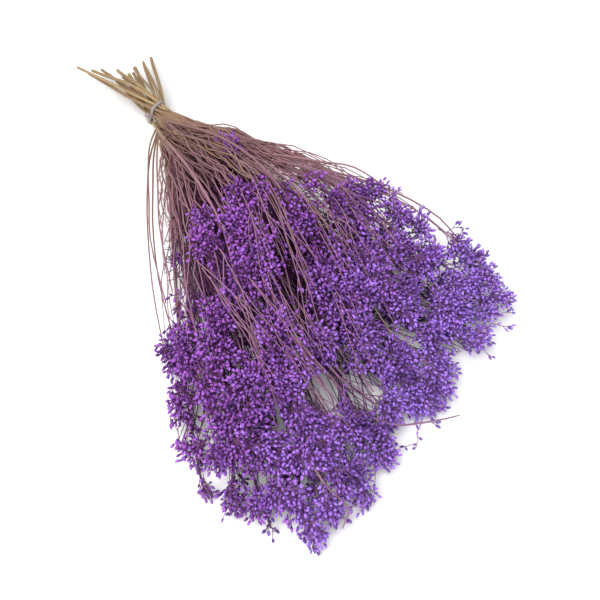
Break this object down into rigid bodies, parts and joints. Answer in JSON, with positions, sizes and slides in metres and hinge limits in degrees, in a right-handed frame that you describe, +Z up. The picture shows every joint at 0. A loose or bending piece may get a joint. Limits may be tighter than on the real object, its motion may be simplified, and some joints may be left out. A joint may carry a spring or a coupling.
{
  "type": "dried broom bloom bunch",
  "caption": "Bunch of dried, dyed broom bloom lying on its side: thin forking stems fan out from a tied neck and end in clusters of small closed buds.",
  "frame": {"origin": "centre of the bounding box's base, on the surface that the bunch lies on", "axes": "+X from the cut ends to the flower tips, +Y across the fan, +Z up from the surface"},
  "size_m": [0.4781, 0.2311, 0.0997],
  "materials": {
    "stem": "dry, thin plant stems, dyed mauve, straw coloured at the cut ends",
    "bud": "dry, closed flower buds, dyed violet, darker at the base and pale lavender at the tip",
    "tie": "pale, slightly see-through elastic band"
  },
  "bodies": {
    "root": {"stem_01": "stem", "stem_02": "stem", "stem_03": "stem", "stem_04": "stem", "stem_05": "stem", "stem_06": "stem", "stem_07": "stem", "stem_08": "stem", "stem_09": "stem", "stem_10": "stem", "stem_11": "stem", "stem_12": "stem", "stem_13": "stem", "stem_14": "stem", "stem_15": "stem", "stem_16": "stem", "tie": "tie"}
  },
  "joints": []
}
